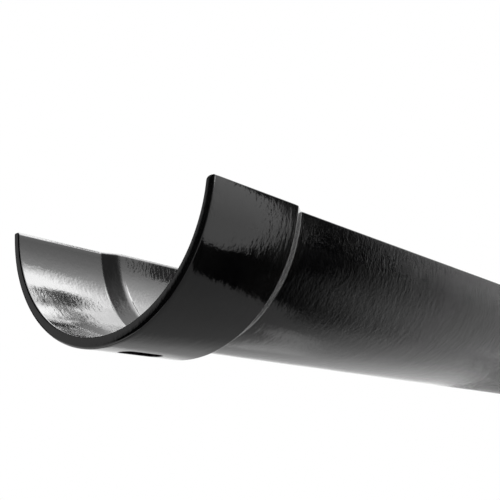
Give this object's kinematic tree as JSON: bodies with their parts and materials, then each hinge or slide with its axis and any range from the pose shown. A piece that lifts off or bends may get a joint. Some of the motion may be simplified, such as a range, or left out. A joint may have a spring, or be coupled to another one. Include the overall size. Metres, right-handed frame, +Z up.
{
  "type": "half-round gutter length",
  "caption": "Half-round cast iron rainwater gutter length with a wide socket end, a sloping shoulder, a slotted socket hole and a plain drilled spigot end.",
  "frame": {"origin": "middle of the overall length, centred across the channel, at the lowest point of the socket", "axes": "+X along the gutter from the socket mouth to the spigot end, +Y across it, +Z up out of the open side"},
  "size_m": [1.879, 0.132, 0.0614],
  "materials": {
    "gloss_black_casting": "gloss black paint over as-cast iron, with a fine casting ripple"
  },
  "bodies": {
    "root": {"gutter_length": "gloss_black_casting"}
  },
  "joints": []
}
